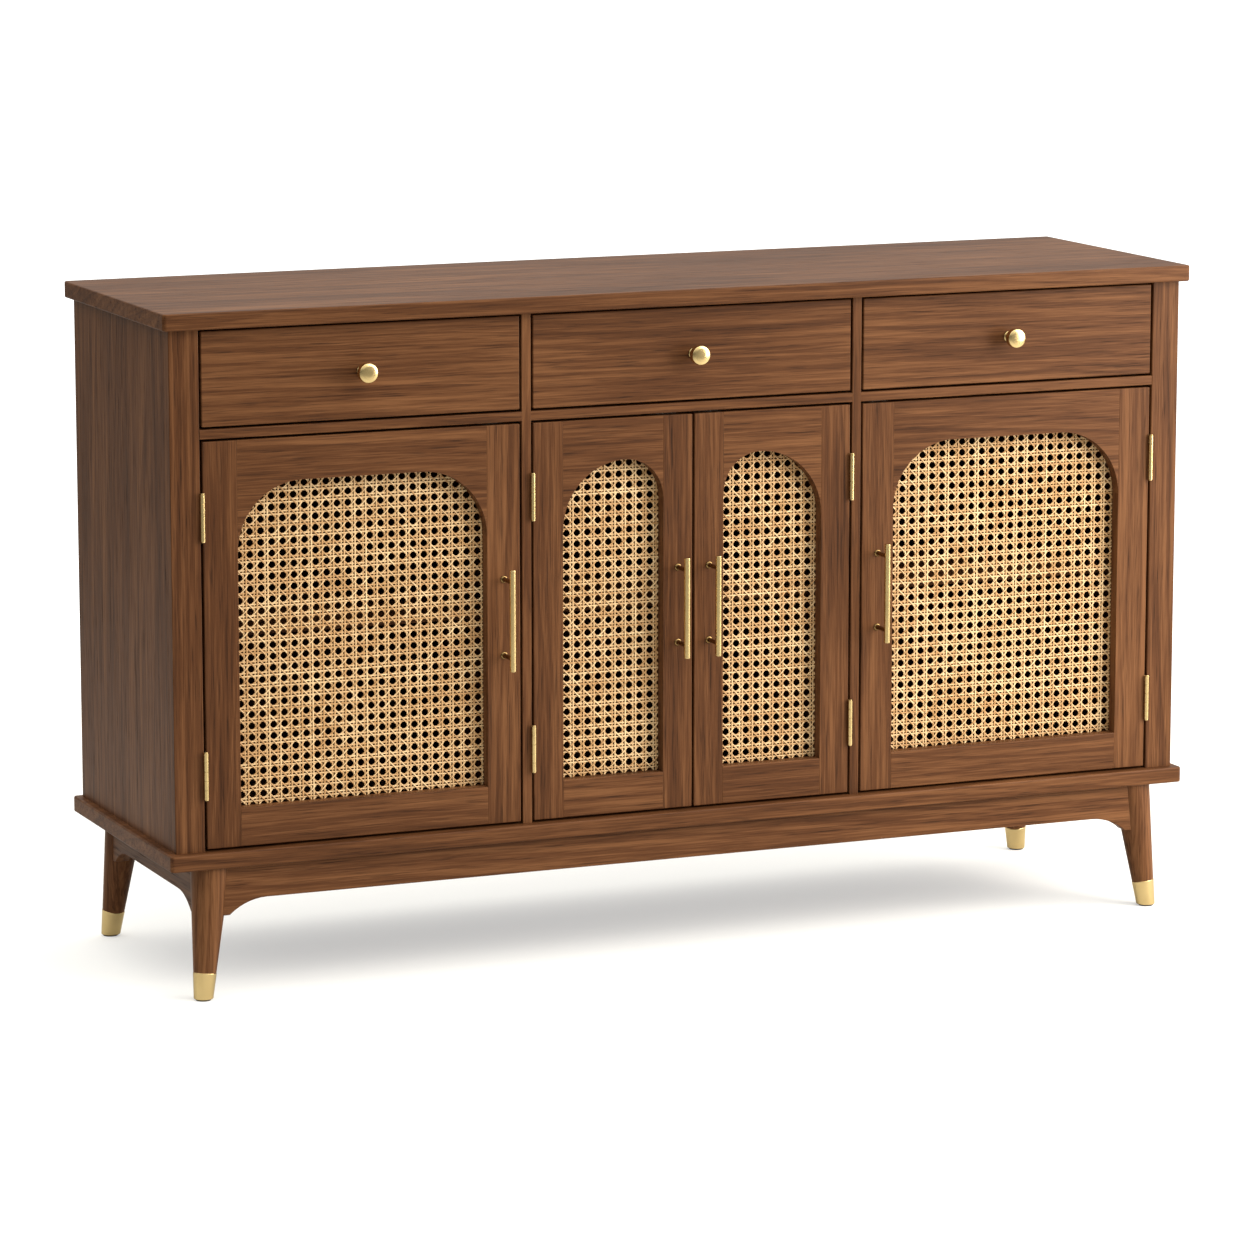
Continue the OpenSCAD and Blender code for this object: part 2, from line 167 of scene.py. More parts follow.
class SIDEBOARD_PG_stage(bpy.types.PropertyGroup):
    """Camera, floor and light."""
    azimuth: angle("Azimuth", "Heading of the camera", 23.164)
    pitch: angle("Pitch", "How far the camera looks down", 10.078)
    distance: length("Distance", "From the camera to the middle of the sideboard", 6.882)
    focal: FloatProperty(name="Focal length", description="Lens of the camera, in millimetres", default=152.5)
    aim: FloatVectorProperty(name="Aim", description="Point that the camera looks at", subtype="XYZ", size=3,
                             default=(-0.0106, 0.011, 0.3898))
    floor: colour("Floor", "Colour of the floor", (0.60, 0.595, 0.575))
    # the floor glow is painted light: only the camera sees it, so it whitens the floor and lifts the shadow
    # cast on it, and lights nothing
    glow: FloatProperty(name="Floor glow", description="Light that comes up through the floor", default=0.42)
    key: FloatProperty(name="Key light", description="Strength of the broad key light", default=0.6)
    side: FloatProperty(name="Side light", description="Power of the soft box at the right", default=94)
    sky: FloatProperty(name="Room light", description="Strength of the light from all round", default=1.0)


# ---- mesh helpers ----

def rounded(points, radius, steps=4):
    """A profile with each inner corner rounded, as far as its neighbours leave room."""
    points = [Vector(p) for p in points]
    smooth = [points[0]]
    for before, corner, after in zip(points, points[1:], points[2:]):
        back, ahead = before - corner, after - corner
        cut = min(radius, back.length * 0.49, ahead.length * 0.49)
        start = corner + back.normalized() * cut
        end = corner + ahead.normalized() * cut
        for i in range(steps + 1):
            t = i / steps
            smooth.append(start * (1 - t) ** 2 + corner * (2 * t * (1 - t)) + end * t ** 2)
    return smooth + [points[-1]]


def turn(bm, profile, place=Matrix.Identity(4), segments=64, material=0):
    """Spins a profile of (radius, height) round the local Z axis of place, with its outside to the right."""
    rings = []
    for radius, height in profile:
        count = segments if radius > 1e-6 else 1
        angles = [math.tau * i / segments for i in range(count)]
        rings.append([bm.verts.new(place @ Vector((radius * math.cos(a), radius * math.sin(a), height)))
                      for a in angles])
    for low, high in zip(rings, rings[1:]):
        for i in range(segments):
            corners = [low[i % len(low)], low[(i + 1) % len(low)],
                       high[(i + 1) % len(high)], high[i % len(high)]]
            corners = list(dict.fromkeys(corners))
            if len(corners) > 2:
                bm.faces.new(corners).material_index = material


def plate(bm, outline, low, high, material=0):
    """An outline of (x, y) points, drawn anticlockwise, raised from low to high."""
    bottom = [bm.verts.new((x, y, low)) for x, y in outline]
    top = [bm.verts.new((x, y, high)) for x, y in outline]
    faces = [bm.faces.new(bottom[::-1]), bm.faces.new(top)]
    for i in range(len(outline)):
        j = (i + 1) % len(outline)
        faces.append(bm.faces.new((bottom[i], bottom[j], top[j], top[i])))
    for face in faces:
        face.material_index = material


def block(bm, low, high, material=0):
    """A small part with square corners between two points."""
    plate(bm, [(low[0], low[1]), (high[0], low[1]), (high[0], high[1]), (low[0], high[1])],
          low[2], high[2], material)


def solids_of(node):
    """The separate solids of a CAD node as clean meshes, from left to right, then up, then back."""
    whole = bmesh.new()
    whole.from_mesh(frame["nodes"][node].data)
    bmesh.ops.remove_doubles(whole, verts=whole.verts, dist=1e-6)
    bmesh.ops.dissolve_limit(whole, angle_limit=math.radians(0.5), verts=whole.verts, edges=whole.edges)
    solids = []
    left = set(whole.verts)
    while left:
        reached, todo = set(), [next(iter(left))]
        while todo:
            vert = todo.pop()
            if vert not in reached:
                reached.add(vert)
                todo += [edge.other_vert(vert) for edge in vert.link_edges]
        left -= reached
        keep = {vert.index for vert in reached}
        part = whole.copy()
        bmesh.ops.delete(part, geom=[v for v in part.verts if v.index not in keep], context="VERTS")
        solids.append(part)
    whole.free()
    return sorted(solids, key=lambda part: tuple(round(c, 3) for c in middle_of(part)))


def box_of(bm):
    """The lowest and the highest corner of a mesh's box."""
    places = [vert.co for vert in bm.verts]
    return [Vector([pick(place[i] for place in places) for i in range(3)]) for pick in (min, max)]


def middle_of(bm):
    """Middle of a mesh's box as (x, z, y)."""
    low, high = box_of(bm)
    return tuple((low[i] + high[i]) / 2 for i in (0, 2, 1))


def neighbours_of(node):
    """A search tree of every other solid on the node's body, which tells a joint from an open edge."""
    body = frame["nodes"][node]["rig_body"]
    others = bmesh.new()
    for name, other in frame["nodes"].items():
        if name != node and other["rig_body"] == body:
            others.from_mesh(other.data)
    tree = BVHTree.FromBMesh(others)
    others.free()
    return tree


def ease(bm, open_width, joint_width=0.0, neighbours=None):
    """Marks each sharp edge with its share of the open width: less where it meets another board."""
    sharp = math.radians(30)
    near = 0.15 * MM
    bm.normal_update()
    layer = bm.edges.layers.float.new("bevel_weight_edge")
    for edge in bm.edges:
        if len(edge.link_faces) == 2 and edge.calc_face_angle() > sharp:
            middle = (edge.verts[0].co + edge.verts[1].co) / 2
            met = neighbours and neighbours.find_nearest(middle, near)[0]
            edge[layer] = joint_width / open_width if met else 1.0


def piece(name, bm, body, nodes, materials, easing=0.0, plank=None):
    """Makes a mesh into a piece that rides on a body and stands for CAD nodes."""
    bmesh.ops.recalc_face_normals(bm, faces=bm.faces)
    for face in bm.faces:
        face.smooth = True
    mesh = bpy.data.meshes.new(name)
    bm.to_mesh(mesh)
    bm.free()
    for material in materials:
        mesh.materials.append(material)
    if plank is not None:
        offsets = mesh.attributes.new("plank", "FLOAT_VECTOR", "FACE")
        offsets.data.foreach_set("vector", list(plank) * len(mesh.polygons))
    made = bpy.data.objects.new(name, mesh)
    bpy.context.scene.collection.objects.link(made)
    if easing:
        soft = made.modifiers.new("Eased edges", "BEVEL")
        soft.limit_method = "WEIGHT"
        soft.width = easing
        soft.segments = 3
    flat = made.modifiers.new("Flat faces", "WEIGHTED_NORMAL")
    flat.keep_sharp = False
    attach(made, body)
    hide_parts(*nodes)
    return made


def board(name, bm, node, material, open_width=None):
    """A wooden piece that stands for one solid of a node, with its own stretch of grain.

    The first number of its plank is in whole hundredths, so that its staves can be drawn from it."""
    wood = bpy.context.scene.sideboard_wood
    width = open_width or wood.arris
    draw = random.Random(name)
    plank = (draw.randint(20, 300) / 100, draw.uniform(0.2, 3.0), draw.uniform(-1, 1))
    ease(bm, width, wood.joint, neighbours_of(node))
    return piece(name, bm, frame["nodes"][node]["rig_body"], [node], [material], width, plank)


def boards(node, names, material, open_width=None):
    """One wooden piece for each solid of a node."""
    for name, bm in zip(names, solids_of(node), strict=True):
        board(name, bm, node, material, open_width)


# ---- shader helpers ----

def add(tree, kind, given=None, **settings):
    """Adds a shader node, sets its properties, and links or sets its inputs."""
    node = tree.nodes.new("ShaderNode" + kind)
    for key, value in settings.items():
        setattr(node, key, value)
    for key, value in (given or {}).items():
        if isinstance(value, bpy.types.NodeSocket):
            tree.links.new(value, node.inputs[key])
        else:
            node.inputs[key].default_value = value
    return node


def calc(tree, operation, first, second=0.0):
    """One sum of one or two values."""
    return add(tree, "Math", {0: first, 1: second}, operation=operation).outputs[0]


def total(tree, base, *parts):
    """A base with a share of each value added to it."""
    for value, amount in parts:
        base = calc(tree, "ADD", base, calc(tree, "MULTIPLY", value, amount))
    return base


def spread(tree, value, low, high, new_low=0.0, new_high=1.0):
    """Takes a value from one range to another, and keeps it there."""
    return add(tree, "MapRange", {"Value": value, "From Min": low, "From Max": high,
                                  "To Min": new_low, "To Max": new_high}).outputs[0]


def noise(tree, place, scale, detail=2.0, roughness=0.5):
    """Soft random values that change from place to place."""
    return add(tree, "TexNoise", {"Vector": place, "Scale": scale, "Detail": detail,
                                  "Roughness": roughness}).outputs["Fac"]


def stretched(tree, place, size):
    """A place scaled along each axis."""
    return add(tree, "VectorMath", {0: place, 1: size}, operation="MULTIPLY").outputs[0]


def blended(tree, factor, first, second, blend="MIX"):
    """Two colours mixed by a factor."""
    node = add(tree, "Mix", data_type="RGBA", blend_type=blend)
    for index, value in ((0, factor), (6, first), (7, second)):
        if isinstance(value, bpy.types.NodeSocket):
            tree.links.new(value, node.inputs[index])
        else:
            node.inputs[index].default_value = value
    return node.outputs[2]


def ramp(tree, value, stops):
    """A run of (place, colour) stops."""
    node = add(tree, "ValToRGB", {"Fac": value})
    elements = node.color_ramp.elements
    while len(elements) < len(stops):
        elements.new(0.5)
    for element, (place, tint) in zip(elements, stops):
        element.position = place
        element.color = (*tint, 1)
    return node.outputs["Color"]


def shader_group(name, inputs, outputs):
    """A new node group with named sockets, as (tree, what comes in, what goes out)."""
    tree = bpy.data.node_groups.new(name, "ShaderNodeTree")
    for socket, kind, default in inputs:
        made = tree.interface.new_socket(socket, in_out="INPUT", socket_type="NodeSocket" + kind)
        if default is not None:
            made.default_value = default
    for socket, kind in outputs:
        tree.interface.new_socket(socket, in_out="OUTPUT", socket_type="NodeSocket" + kind)
    return tree, tree.nodes.new("NodeGroupInput").outputs, tree.nodes.new("NodeGroupOutput").inputs


def built_once(make):
    """Keeps what a function makes, and hands it out again for the same values."""
    made = {}

    def get(*key):
        if key not in made:
            made[key] = make(*key)
        return made[key]
    return get


def place_group(tree, group, given):
    """Puts a node group into a tree and returns what comes out of it."""
    return add(tree, "Group", given, node_tree=group).outputs


@built_once
def wood_figure():
    """Growth rings, streaks, fibres and pores of a board whose grain runs along Z.

    The plank's first two numbers shift the figure, so that no two boards match. Its third is their tone."""
    tree, given, out = shader_group(
        "Wood figure",
        [("Vector", "Vector", None), ("Plank", "Vector", None), ("Ring spacing", "Float", 0.009),
         ("Stave width", "Float", NO_STAVES)],
        [("Tone", "Float"), ("Pores", "Float"), ("Height", "Float")])
    plank = add(tree, "SeparateXYZ", {0: given["Plank"]}).outputs
    part = add(tree, "SeparateXYZ", {0: given["Vector"]}).outputs

    # staves side by side, each with its own stretch of figure, and a thin line at each joint
    across = calc(tree, "DIVIDE", calc(tree, "ADD", part[0], part[1]), given["Stave width"])
    across = calc(tree, "ADD", across, 0.5)
    board_number = calc(tree, "ROUND", calc(tree, "MULTIPLY", plank[0], 100))
    stave = total(tree, calc(tree, "FLOOR", across), (board_number, 16))
    stave = add(tree, "TexWhiteNoise", {"W": stave}, noise_dimensions="1D").outputs["Value"]
    off_middle = calc(tree, "ABSOLUTE", calc(tree, "SUBTRACT", calc(tree, "FRACT", across), 0.5))
    from_joint = calc(tree, "MULTIPLY", calc(tree, "SUBTRACT", 0.5, off_middle), given["Stave width"])
    joint = spread(tree, from_joint, 0.0002, 0.0007, 1.0, 0.0)
    shift = add(tree, "CombineXYZ", {0: total(tree, plank[0], (stave, 3.1)),
                                     1: total(tree, plank[1], (stave, 5.7)),
                                     2: calc(tree, "MULTIPLY", plank[0], 7.3)}).outputs[0]
    place = add(tree, "VectorMath", {0: given["Vector"], 1: shift}, operation="ADD").outputs[0]

    # growth rings, counted from a pith off to one side that wanders along the board
    sway = noise(tree, stretched(tree, place, (3, 3, 1.4)), 1.0, 2.0, 0.5)
    ripple = noise(tree, stretched(tree, place, (26, 26, 7)), 1.0, 2.0)
    pith_x = total(tree, part[0], (plank[0], 0.16))
    pith_y = total(tree, part[1], (plank[1], 0.16))
    from_pith = calc(tree, "SQRT", total(tree, calc(tree, "MULTIPLY", pith_x, pith_x), (pith_y, pith_y)))
    from_pith = total(tree, from_pith, (part[2], 0.035), (sway, 0.070), (ripple, 0.0045))
    count = calc(tree, "DIVIDE", from_pith, given["Ring spacing"])
    ring = add(tree, "CombineXYZ", {0: count, 1: calc(tree, "MULTIPLY", part[2], 1.4)}).outputs[0]
    bands = noise(tree, ring, 1.0, 3.0, 0.6)
    late = calc(tree, "POWER", calc(tree, "FRACT", calc(tree, "MULTIPLY", count, 0.5)), 5.0)

    # streaks, fibres and pores, drawn out along the grain
    streaks = noise(tree, stretched(tree, place, (140, 140, 4.2)), 1.0, 5.0, 0.64)
    fibres = noise(tree, stretched(tree, place, (520, 520, 13)), 1.0, 3.0, 0.62)
    cloud = noise(tree, stretched(tree, place, (9, 9, 2.2)), 1.0, 2.0)
    dashes = noise(tree, stretched(tree, place, (640, 640, 22)), 1.0, 1.5)
    pores = calc(tree, "MULTIPLY", spread(tree, dashes, 0.56, 0.68), spread(tree, streaks, 0.64, 0.40))
    tone = total(tree, calc(tree, "MULTIPLY", bands, 0.25), (streaks, 0.33), (cloud, 0.18), (fibres, 0.26),
                 (late, -0.05), (plank[2], 0.014), (stave, 0.022), (joint, -0.05))
    height = calc(tree, "SUBTRACT", calc(tree, "MULTIPLY", fibres, 0.35), pores)
    for socket, value in (("Tone", tone), ("Pores", pores), ("Height", height)):
        tree.links.new(value, out[socket])
    return tree


@built_once
def edge_wear_and_highlight():
    """A mask of the arrises, broken up so that some stretches are rubbed more than others. It lightens edges
    both as wear and as a painted highlight along the arrises.
    """
    tree, given, out = shader_group(
        "Edge wear and painted highlight", [("Vector", "Vector", None), ("Radius", "Float", 0.002), ("Amount", "Float", 1.0)],
        [("Mask", "Float")])
    soft = add(tree, "Bevel", {"Radius": given["Radius"]}, samples=4).outputs[0]
    true = add(tree, "NewGeometry").outputs["Normal"]
    same = add(tree, "VectorMath", {0: soft, 1: true}, operation="DOT_PRODUCT").outputs["Value"]
    edge = spread(tree, same, 0.98, 0.80)
    broken = spread(tree, noise(tree, given["Vector"], 60.0, 3.0, 0.6), 0.35, 0.65, 0.35, 1.0)
    worn_and_highlighted = calc(tree, "MULTIPLY", calc(tree, "MULTIPLY", edge, broken), given["Amount"])
    tree.links.new(worn_and_highlighted, out["Mask"])
    return tree


@built_once
def handled_finish():
    """How a finish differs from place to place: faint smears, and the ripple of a sprayed coat."""
    tree, given, out = shader_group(
        "Handled finish", [("Vector", "Vector", None), ("Roughness", "Float", 0.4), ("Smear", "Float", 0.06)],
        [("Roughness", "Float"), ("Ripple", "Float")])
    smear = calc(tree, "SUBTRACT", noise(tree, given["Vector"], 11.0, 4.0, 0.6), 0.5)
    varied = total(tree, given["Roughness"], (smear, given["Smear"]))
    tree.links.new(varied, out["Roughness"])
    tree.links.new(noise(tree, given["Vector"], 420.0, 1.0), out["Ripple"])
    return tree


def new_material(name):
    """An empty material, as (material, its tree, its Principled shader)."""
    material = bpy.data.materials.new(name)
    material.use_nodes = True
    tree = material.node_tree
    tree.nodes.clear()
    shader = add(tree, "BsdfPrincipled")
    add(tree, "OutputMaterial", {"Surface": shader.outputs[0]})
    return material, tree, shader


def object_place(tree):
    """Where a point of the surface lies in the piece's own frame, in metres."""
    return add(tree, "TexCoord").outputs["Object"]


def coat(tree, shader, tint, roughness, height, strength, depth):
    """Feeds a shader its colour and roughness, and bumps as strong and deep as given."""
    bump = add(tree, "Bump", {"Strength": strength, "Distance": depth, "Height": height}).outputs[0]
    for socket, value in (("Base Color", tint), ("Roughness", roughness), ("Normal", bump)):
        tree.links.new(value, shader.inputs[socket])


def timber(name, grain, stops, roughness, worn_and_highlighted, pore_depth, stave=NO_STAVES):
    """A wood whose grain runs along X, Y or Z. Stops are (place, colour) along its tone."""
    material, tree, shader = new_material(f"{name} along {grain}")
    place = object_place(tree)
    parts = add(tree, "SeparateXYZ", {0: place}).outputs
    along = add(tree, "CombineXYZ", {i: parts[axis] for i, axis in enumerate(GRAIN_ORDER[grain])}).outputs[0]
    plank = add(tree, "Attribute", attribute_name="plank").outputs["Vector"]
    spacing = bpy.context.scene.sideboard_wood.ring
    figure = place_group(tree, wood_figure(), {"Vector": along, "Plank": plank, "Ring spacing": spacing,
                                               "Stave width": stave})
    wear_and_highlight = place_group(tree, edge_wear_and_highlight(), {"Vector": place, "Radius": 0.0018, "Amount": worn_and_highlighted})["Mask"]
    finish = place_group(tree, handled_finish(), {"Vector": place, "Roughness": roughness})
    tint = ramp(tree, figure["Tone"], stops)
    pore_tint = blended(tree, 1.0, tint, (0.42, 0.42, 0.42, 1), "MULTIPLY")
    tint = blended(tree, calc(tree, "MULTIPLY", figure["Pores"], 0.9), tint, pore_tint)
    palest = stops[-1][1]
    # the edges lighten towards the palest tone: partly wear, partly a painted highlight along the arris
    tint = blended(tree, wear_and_highlight, tint, (*palest, 1))
    rough = total(tree, finish["Roughness"], (figure["Pores"], 0.18))
    height = total(tree, figure["Height"], (finish["Ripple"], 0.2))
    shader.inputs["Specular IOR Level"].default_value = 0.10
    coat(tree, shader, tint, rough, height, 0.35, pore_depth)
    return material


def lacquered_walnut(name, grain, stave=NO_STAVES):
    """Walnut in the three tones that the user sets."""
    wood = bpy.context.scene.sideboard_wood
    stops = [(0.38, tuple(wood.dark)), (0.495, tuple(wood.middle)), (0.62, tuple(wood.light))]
    return timber(name, grain, stops, wood.gloss, 0.55, 0.12 * MM, stave)


@built_once
def walnut(grain):
    """Walnut in one solid board."""
    return lacquered_walnut("Lacquered walnut", grain)


@built_once
def glued_walnut(grain):
    """Walnut staves glued up side by side into a wide panel."""
    return lacquered_walnut("Glued-up walnut", grain, bpy.context.scene.sideboard_wood.stave)


@built_once
def plain_walnut(grain):
    """Unlacquered walnut, as on the back."""
    wood = bpy.context.scene.sideboard_wood
    stops = [(0.32, tuple(wood.dark)), (0.66, tuple(wood.middle))]
    return timber("Plain walnut", grain, stops, 0.62, 0.2, 0.2 * MM)


@built_once
def drawer_maple(grain):
    """The pale wood of the drawer boxes."""
    stops = [(0.30, (0.36, 0.21, 0.105)), (0.52, (0.50, 0.32, 0.17)), (0.72, (0.62, 0.43, 0.25))]
    return timber("Drawer maple", grain, stops, 0.55, 0.25, 0.1 * MM)


@built_once
def hardwood(grain):
    """The waxed wood of the runners and the beads."""
    stops = [(0.30, (0.13, 0.062, 0.028)), (0.70, (0.27, 0.145, 0.072))]
    return timber("Waxed hardwood", grain, stops, 0.5, 0.3, 0.1 * MM)


def brushed_brass(name, tone, aged_and_shaded, patina_share):
    """Brass with fine brushed lines, patches of patina and rubbed edges."""
    gloss = bpy.context.scene.sideboard_brass.gloss
    rubbed = (0.93, 0.78, 0.48, 1)
    material, tree, shader = new_material(name)
    place = object_place(tree)
    wear_and_highlight = place_group(tree, edge_wear_and_highlight(), {"Vector": place, "Radius": 0.0006, "Amount": 0.5})["Mask"]
    finish = place_group(tree, handled_finish(), {"Vector": place, "Roughness": gloss, "Smear": 0.06})
    lines = noise(tree, stretched(tree, place, (5200, 5200, 160)), 1.0, 2.0, 0.6)
    patina = spread(tree, noise(tree, place, 45.0, 3.0, 0.55), 0.42, 0.78, 0.0, patina_share)
    tint = blended(tree, wear_and_highlight, blended(tree, patina, (*tone, 1), (*aged_and_shaded, 1)), rubbed)
    rough = total(tree, finish["Roughness"], (lines, 0.06))
    shader.inputs["Metallic"].default_value = 1.0
    coat(tree, shader, tint, rough, lines, 0.05, 0.03 * MM)
    return material


@built_once
def satin_brass():
    brass = bpy.context.scene.sideboard_brass
    return brushed_brass("Satin brass", brass.tone, brass.aged_and_shaded, 0.22)


@built_once
def shaded_post_brass():
    """The darker brass of the handle posts, a painted shade: the posts stand in the shadow of their bar."""
    aged_and_shaded = bpy.context.scene.sideboard_brass.aged_and_shaded
    return brushed_brass("Aged and shaded brass", aged_and_shaded, [c * 0.6 for c in aged_and_shaded], 0.8)


@built_once
def cane_skin():
    """Split cane: glossy pale skin with fine long fibres, darker along its edges."""
    cane = bpy.context.scene.sideboard_cane
    material, tree, shader = new_material("Split cane")
    place = object_place(tree)
    strand = add(tree, "Attribute", attribute_name="strand").outputs["Vector"]
    across, run, tone = add(tree, "SeparateXYZ", {0: strand}).outputs
    lane = add(tree, "CombineXYZ", {0: calc(tree, "MULTIPLY", across, 3.2),
                                    1: calc(tree, "MULTIPLY", run, 45.0),
                                    2: calc(tree, "MULTIPLY", tone, 31.0)}).outputs[0]
    fibres = noise(tree, lane, 1.0, 3.0, 0.6)
    blotch = noise(tree, place, 38.0, 3.0, 0.6)
    edge = calc(tree, "POWER", calc(tree, "ABSOLUTE", across), 3.0)
    deep = total(tree, calc(tree, "MULTIPLY", edge, 0.45), (fibres, 0.55), (blotch, 0.38), (tone, 0.26))
    tint = ramp(tree, deep, [(0.30, tuple(cane.pale)), (0.71875, tuple(cane.deep))])
    finish = place_group(tree, handled_finish(), {"Vector": place, "Roughness": 0.46, "Smear": 0.12})
    shader.inputs["Specular IOR Level"].default_value = 0.3
    coat(tree, shader, tint, finish["Roughness"], fibres, 0.4, 0.06 * MM)
    return material


def moulded(name, tint, dark, roughness, metal=0.0):
    """A moulded or pressed small part, with specks, smears and rubbed edges."""
    material, tree, shader = new_material(name)
    place = object_place(tree)
    specks = noise(tree, place, 900.0, 2.0)
    wear_and_highlight = place_group(tree, edge_wear_and_highlight(), {"Vector": place, "Radius": 0.0006, "Amount": 0.5})["Mask"]
    finish = place_group(tree, handled_finish(), {"Vector": place, "Roughness": roughness, "Smear": 0.15})
    body = blended(tree, spread(tree, noise(tree, place, 40.0, 3.0), 0.4, 0.75), (*tint, 1), (*dark, 1))
    body = blended(tree, wear_and_highlight, body, (*(min(1.0, c * 1.5 + 0.03) for c in tint), 1))
    shader.inputs["Metallic"].default_value = metal
    coat(tree, shader, body, finish["Roughness"], specks, 0.2, 0.05 * MM)
    return material


@built_once
def pad_rubber():
    return moulded("Foot pad rubber", (0.030, 0.027, 0.025), (0.018, 0.016, 0.015), 0.7)


@built_once
def catch_plastic():
    return moulded("Catch plastic", (0.62, 0.58, 0.52), (0.50, 0.46, 0.40), 0.45)


@built_once
def catch_steel():
    return moulded("Catch steel", (0.55, 0.55, 0.56), (0.38, 0.38, 0.39), 0.35, 1.0)


@built_once
def studio_floor():
    """A pale matt floor with the faintest unevenness, and a painted glow that only the camera sees."""
    material, tree, shader = new_material("Studio floor")
    place = object_place(tree)
    finish = place_group(tree, handled_finish(), {"Vector": place, "Roughness": 0.85})
    stage = bpy.context.scene.sideboard_stage
    floor = Vector(stage.floor)
    away = add(tree, "VectorMath", {0: place}, operation="LENGTH").outputs["Value"]
    tint = blended(tree, noise(tree, place, 2.0, 3.0), (*(floor * 0.99), 1), (*floor, 1))
    tint = blended(tree, spread(tree, away, 1.0, 3.5), tint, (*(floor * 0.35), 1))
    shader.inputs["Specular IOR Level"].default_value = 0.1
    shader.inputs["Emission Color"].default_value = (0.97, 0.985, 1, 1)
    # painted glow, seen by the camera alone: near the sideboard it lifts the cast shadow, and far off it
    # whitens the floor, which is darker there so that the brass reflects it darker
    seen = add(tree, "LightPath").outputs["Is Camera Ray"]
    glow = calc(tree, "MULTIPLY", seen, spread(tree, away, 1.0, 2.5, stage.glow, 1.2))
    tree.links.new(glow, shader.inputs["Emission Strength"])
    tree.links.new(tint, shader.inputs["Base Color"])
    tree.links.new(finish["Roughness"], shader.inputs["Roughness"])
    return material


class Maker:
    """What the operators share."""
    bl_options = {"REGISTER", "UNDO"}


# ---- stage ----

def room_light(strength):
    """Light from above and from the right, and plain white where the camera looks."""
    world = bpy.data.worlds.new("Studio")
    bpy.context.scene.world = world
    world.use_nodes = True
    tree = world.node_tree
    tree.nodes.clear()
    direction = add(tree, "TexCoord").outputs["Generated"]
    heading = add(tree, "SeparateXYZ", {0: direction}).outputs
    right = spread(tree, heading[0], -0.6, 0.8, 0.0, 0.42)
    above = spread(tree, heading[2], 0.15, 1.0, 0.0, 2.15)
    level = calc(tree, "ADD", calc(tree, "ADD", right, above), 0.11)
    level = calc(tree, "MULTIPLY", level, strength)
    glow = add(tree, "Background", {"Color": (1, 0.98, 0.92, 1), "Strength": level}).outputs[0]
    plain = add(tree, "Background", {"Color": (1, 1, 1, 1), "Strength": 1.0}).outputs[0]
    seen = add(tree, "LightPath").outputs["Is Camera Ray"]
    mixed = add(tree, "MixShader", {0: seen, 1: glow, 2: plain}).outputs[0]
    add(tree, "OutputWorld", {"Surface": mixed})


def lamp(name, kind, place, aim, energy, **settings):
    """A light at a place, turned to a point."""
    data = bpy.data.lights.new(name, kind)
    data.energy = energy
    for key, value in settings.items():
        setattr(data, key, value)
    made = bpy.data.objects.new(name, data)
    made.location = place
    made.rotation_euler = (Vector(aim) - Vector(place)).to_track_quat("-Z", "Y").to_euler()
    bpy.context.scene.collection.objects.link(made)


class SIDEBOARD_OT_stage(Maker, bpy.types.Operator):
    """Sets up the camera, the floor and the lights"""
    bl_idname = "sideboard.stage"
    bl_label = "Stage"

    def execute(self, context):
        stage = context.scene.sideboard_stage
        context.scene.view_settings.view_transform = "Standard"
        aim = Vector(stage.aim)
        ahead = Vector((math.sin(stage.azimuth) * math.cos(stage.pitch),
                        math.cos(stage.azimuth) * math.cos(stage.pitch), -math.sin(stage.pitch)))
        camera = bpy.data.cameras.new("Camera")
        camera.lens = stage.focal
        holder = bpy.data.objects.new("Camera", camera)
        holder.location = aim - ahead * stage.distance
        holder.rotation_euler = ahead.to_track_quat("-Z", "Y").to_euler()
        context.scene.collection.objects.link(holder)
        context.scene.camera = holder

        floor_radius = 60.0
        bm = bmesh.new()
        turn(bm, [(floor_radius, 0), (4.0, 0), (0, 0)], segments=96)
        mesh = bpy.data.meshes.new("Floor")
        bm.to_mesh(mesh)
        bm.free()
        mesh.materials.append(studio_floor())
        floor = bpy.data.objects.new("Floor", mesh)
        context.scene.collection.objects.link(floor)

        room_light(stage.sky)
        lamp("Key light", "SUN", (2.2, -3.2, 2.9), (0, 0, 0), stage.key, angle=math.radians(28))
        lamp("Side soft box", "AREA", (2.1, -1.5, 1.15), (0.3, 0, 0.5), stage.side, shape="RECTANGLE",
             size=1.7, size_y=1.9, color=(1, 0.93, 0.84))
        return {"FINISHED"}


# ---- carcass ----

def slab(name, node):
    """A slab with rounded corners and soft arrises."""
    wood = bpy.context.scene.sideboard_wood
    low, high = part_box(node)
    r = wood.slab_corner
    outline = []
    for i, (x, y) in enumerate(((high.x, high.y), (low.x, high.y), (low.x, low.y), (high.x, low.y))):
        inward_x = -r if x == high.x else r
        inward_y = -r if y == high.y else r
        for step in range(7):
            turned = math.radians(90 * i + 15 * step)
            outline.append((x + inward_x + r * math.cos(turned), y + inward_y + r * math.sin(turned)))
    bm = bmesh.new()
    plate(bm, outline, low.z, high.z)
    board(name, bm, node, glued_walnut("X"), wood.slab_arris)


class SIDEBOARD_OT_slabs(Maker, bpy.types.Operator):
    """Makes the top slab and the base slab"""
    bl_idname = "sideboard.slabs"
    bl_label = "Slabs"

    def execute(self, context):
        slab("top_slab", "top_panel")
        slab("base_board", "base_slab")
        return {"FINISHED"}


